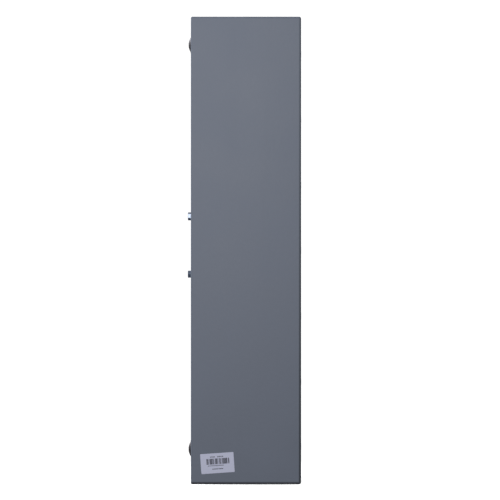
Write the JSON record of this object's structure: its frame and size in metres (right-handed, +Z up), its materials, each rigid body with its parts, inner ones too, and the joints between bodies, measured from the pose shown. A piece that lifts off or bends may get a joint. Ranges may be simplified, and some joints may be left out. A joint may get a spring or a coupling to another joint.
{
  "type": "residential load center",
  "caption": "Wall-mounted painted steel electrical panel with a hinged door, trim cover, dead front, breakers, bus bars and neutral and ground bars",
  "frame": {"origin": "middle of the back face, on the wall plane", "axes": "+Z up, -Y out of the wall towards the person who opens the door, +X to that person's right"},
  "size_m": [0.3621, 0.1015, 0.417],
  "materials": {
    "box_paint": "baked enamel, satin, fine orange peel",
    "cover_paint": "baked enamel, satin, fine orange peel",
    "dark_steel": "dark phosphate finish, slightly worn on the crown",
    "zinc_steel": "bright zinc plate",
    "bar_aluminium": "tin-plated extruded aluminium",
    "bus_copper": "tin-free rolled copper, slightly oxidised",
    "trip_metal": "bimetal strip",
    "green_screw": "green dyed zinc plate",
    "breaker_black": "moulded thermoset, fine grain",
    "handle_black": "moulded nylon, semi-gloss",
    "insulator": "moulded thermoset, dark brown-black",
    "latch_plastic": "moulded acetal",
    "bumper_rubber": "soft black rubber",
    "card_paper": "uncoated card with ruled lines",
    "label_film": "printed label film"
  },
  "bodies": {
    "box": {"back_wall": "box_paint", "left_side_wall": "box_paint", "right_side_wall": "box_paint", "top_end_wall": "box_paint", "bottom_end_wall": "box_paint", "trim_brackets": "box_paint", "interior_pan": "zinc_steel", "mounting_screws": "zinc_steel", "bus_insulator": "insulator", "line_bus_a": "bus_copper", "line_bus_b": "bus_copper", "bus_screws": "zinc_steel", "breaker_rail_left": "zinc_steel", "breaker_rail_right": "zinc_steel", "neutral_bar_left": "bar_aluminium", "neutral_bar_right": "bar_aluminium", "neutral_strap": "bar_aluminium", "bar_screws": "zinc_steel", "neutral_lug": "bar_aluminium", "lug_set_screws": "zinc_steel", "neutral_standoffs": "insulator", "ground_bar": "bar_aluminium", "bonding_screw": "green_screw", "main_case": "breaker_black", "main_line_lugs": "bar_aluminium", "main_load_straps": "bus_copper", "branch_terminals": "zinc_steel", "branch_terminal_screws": "zinc_steel", "branch_jaws": "bus_copper", "contact_arms": "bus_copper", "branch_bimetals": "trip_metal", "branch_arc_chutes": "zinc_steel", "barcode_label": "label_film", "breaker_1_case": "breaker_black", "breaker_2_case": "breaker_black", "breaker_3_case": "breaker_black", "breaker_4_case": "breaker_black", "breaker_5_case": "breaker_black", "breaker_6_case": "breaker_black", "breaker_7_case": "breaker_black"},
    "cover": {"trim_cover": "cover_paint", "deadfront": "cover_paint", "deadfront_screws": "zinc_steel", "cover_screws": "dark_steel", "latch_keeper": "zinc_steel", "keeper_screws": "zinc_steel", "door_bumpers": "bumper_rubber"},
    "door": {"door_panel": "cover_paint", "hinge_pins": "zinc_steel", "latch_housing": "latch_plastic", "directory_card": "card_paper"},
    "latch": {"latch_slide": "latch_plastic"},
    "main_toggle": {"main_handle": "handle_black"},
    "breaker_1_toggle": {"breaker_1_handle": "handle_black"},
    "breaker_2_toggle": {"breaker_2_handle": "handle_black"},
    "breaker_3_toggle": {"breaker_3_handle": "handle_black"},
    "breaker_4_toggle": {"breaker_4_handle": "handle_black"},
    "breaker_5_toggle": {"breaker_5_handle": "handle_black"},
    "breaker_6_toggle": {"breaker_6_handle": "handle_black"},
    "breaker_7_toggle": {"breaker_7_handle": "handle_black"}
  },
  "joints": [
    {"name": "cover_lift_off", "type": "slide", "parent": "box", "child": "cover", "axis": [0, -1, 0], "range_m": [0, 0.12]},
    {"name": "door_hinge", "type": "hinge", "parent": "cover", "child": "door", "pos_m": [-0.0922, -0.0942, 0], "axis": [0, 0, -1], "range_deg": [0, 105]},
    {"name": "latch_travel", "type": "slide", "parent": "door", "child": "latch", "axis": [1, 0, 0], "range_m": [0, 0.006]},
    {"name": "main_throw", "type": "hinge", "parent": "box", "child": "main_toggle", "pos_m": [0, -0.0795, 0.09], "axis": [1, 0, 0], "range_deg": [0, 36]},
    {"name": "breaker_1_throw", "type": "hinge", "parent": "box", "child": "breaker_1_toggle", "pos_m": [-0.041, -0.0795, 0.0277], "axis": [0, 0, -1], "range_deg": [0, 36]},
    {"name": "breaker_2_throw", "type": "hinge", "parent": "box", "child": "breaker_2_toggle", "pos_m": [-0.041, -0.0795, 0.0023], "axis": [0, 0, -1], "range_deg": [0, 36]},
    {"name": "breaker_3_throw", "type": "hinge", "parent": "box", "child": "breaker_3_toggle", "pos_m": [-0.041, -0.0795, -0.0231], "axis": [0, 0, -1], "range_deg": [0, 36]},
    {"name": "breaker_4_throw", "type": "hinge", "parent": "box", "child": "breaker_4_toggle", "pos_m": [-0.041, -0.0795, -0.0485], "axis": [0, 0, -1], "range_deg": [0, 36]},
    {"name": "breaker_5_throw", "type": "hinge", "parent": "box", "child": "breaker_5_toggle", "pos_m": [0.041, -0.0795, -0.0231], "axis": [0, 0, 1], "range_deg": [0, 36]},
    {"name": "breaker_6_throw", "type": "hinge", "parent": "box", "child": "breaker_6_toggle", "pos_m": [0.041, -0.0795, -0.0485], "axis": [0, 0, 1], "range_deg": [0, 36]},
    {"name": "breaker_7_throw", "type": "hinge", "parent": "box", "child": "breaker_7_toggle", "pos_m": [0.041, -0.0795, 0.0277], "axis": [0, 0, 1], "range_deg": [0, 36]}
  ]
}
